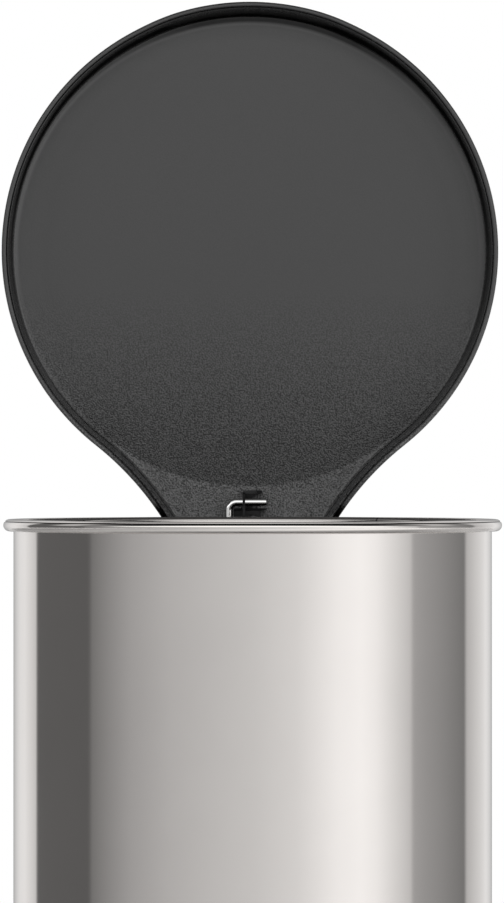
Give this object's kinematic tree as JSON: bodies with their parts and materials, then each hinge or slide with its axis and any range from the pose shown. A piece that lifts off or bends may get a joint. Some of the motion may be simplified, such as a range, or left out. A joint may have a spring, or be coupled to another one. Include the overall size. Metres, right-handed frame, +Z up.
{
  "type": "pedal bin",
  "caption": "Round stainless steel pedal bin with a keyhole-shaped hinged lid held open, a plastic lid liner, an exposed lift rod and a removable inner bucket.",
  "frame": {"origin": "on the floor, on the axis of the round steel body, which is also the middle of the footprint with the lid open", "axes": "+Z up, -Y toward the pedal at the front, +Y toward the lid hinge, +X to the right seen from the front"},
  "size_m": [0.3166, 0.3938, 0.9682],
  "materials": {
    "steel_body": "bright polished stainless sheet with a rolled rim",
    "lid_cover": "bright stainless sheet, its lower edge held behind the lip of the liner",
    "lid_liner": "dark grey moulded plastic with a fine spark-eroded grain",
    "lift_rod": "bright plated wire",
    "rod_clip": "black moulded plastic",
    "base_ring": "black moulded plastic",
    "base_plate": "black moulded plastic",
    "foot": "matt black rubber",
    "pedal_lever": "plated flat bar",
    "pedal_tread": "bright stainless plate",
    "pedal_pad": "ribbed black rubber",
    "pivot_pin": "turned steel pin",
    "pivot_bracket": "zinc-plated pressed steel",
    "screw": "zinc-plated pan-head screw",
    "clip_screw": "black-oxide pan-head screw",
    "hinge_bracket": "black moulded plastic",
    "hinge_backing_plate": "zinc-plated pressed steel",
    "hinge_pin": "turned steel pin",
    "bucket_support_ring": "black moulded plastic",
    "inner_bucket": "dark grey moulded plastic",
    "rod_guide": "black moulded plastic"
  },
  "bodies": {
    "bin": {"steel_body": "steel_body", "base_ring": "base_ring", "base_plate": "base_plate", "foot_front_left": "foot", "foot_front_right": "foot", "foot_rear_left": "foot", "foot_rear_right": "foot", "pedal_pivot_pin": "pivot_pin", "pivot_bracket_left": "pivot_bracket", "pivot_bracket_right": "pivot_bracket", "pivot_screw_left_front": "screw", "pivot_screw_left_rear": "screw", "pivot_screw_right_front": "screw", "pivot_screw_right_rear": "screw", "hinge_bracket": "hinge_bracket", "hinge_backing_plate": "hinge_backing_plate", "hinge_pin_left": "hinge_pin", "hinge_pin_right": "hinge_pin", "hinge_screw_left_upper": "screw", "hinge_screw_right_upper": "screw", "hinge_screw_left_lower": "screw", "hinge_screw_right_lower": "screw", "bucket_support_ring": "bucket_support_ring", "inner_bucket": "inner_bucket", "rod_guide": "rod_guide"},
    "lid": {"lid_cover": "lid_cover", "lid_liner": "lid_liner", "rod_clip": "rod_clip", "rod_clip_screw": "clip_screw"},
    "rod": {"lift_rod": "lift_rod"},
    "pedal": {"pedal_lever": "pedal_lever", "pedal_tread": "pedal_tread", "pedal_pad": "pedal_pad", "tread_screw_left": "screw", "tread_screw_right": "screw"}
  },
  "joints": [
    {"name": "lid_hinge", "type": "hinge", "parent": "bin", "child": "lid", "pos_m": [0, 0.1753, 0.634], "axis": [1, 0, 0], "range_deg": [0, 90]},
    {"name": "rod_pivot", "type": "hinge", "parent": "lid", "child": "rod", "pos_m": [0, 0.1703, 0.649], "axis": [1, 0, 0], "range_deg": [-89.5, 0]},
    {"name": "pedal_pivot", "type": "hinge", "parent": "bin", "child": "pedal", "pos_m": [0, -0.025, 0.02], "axis": [1, 0, 0], "range_deg": [-7.9, 0]}
  ],
  "couplings": [
    {"joint": "rod_pivot", "follows": "lid_hinge", "ratio": -0.98965},
    {"joint": "pedal_pivot", "follows": "lid_hinge", "ratio": -0.08609}
  ]
}
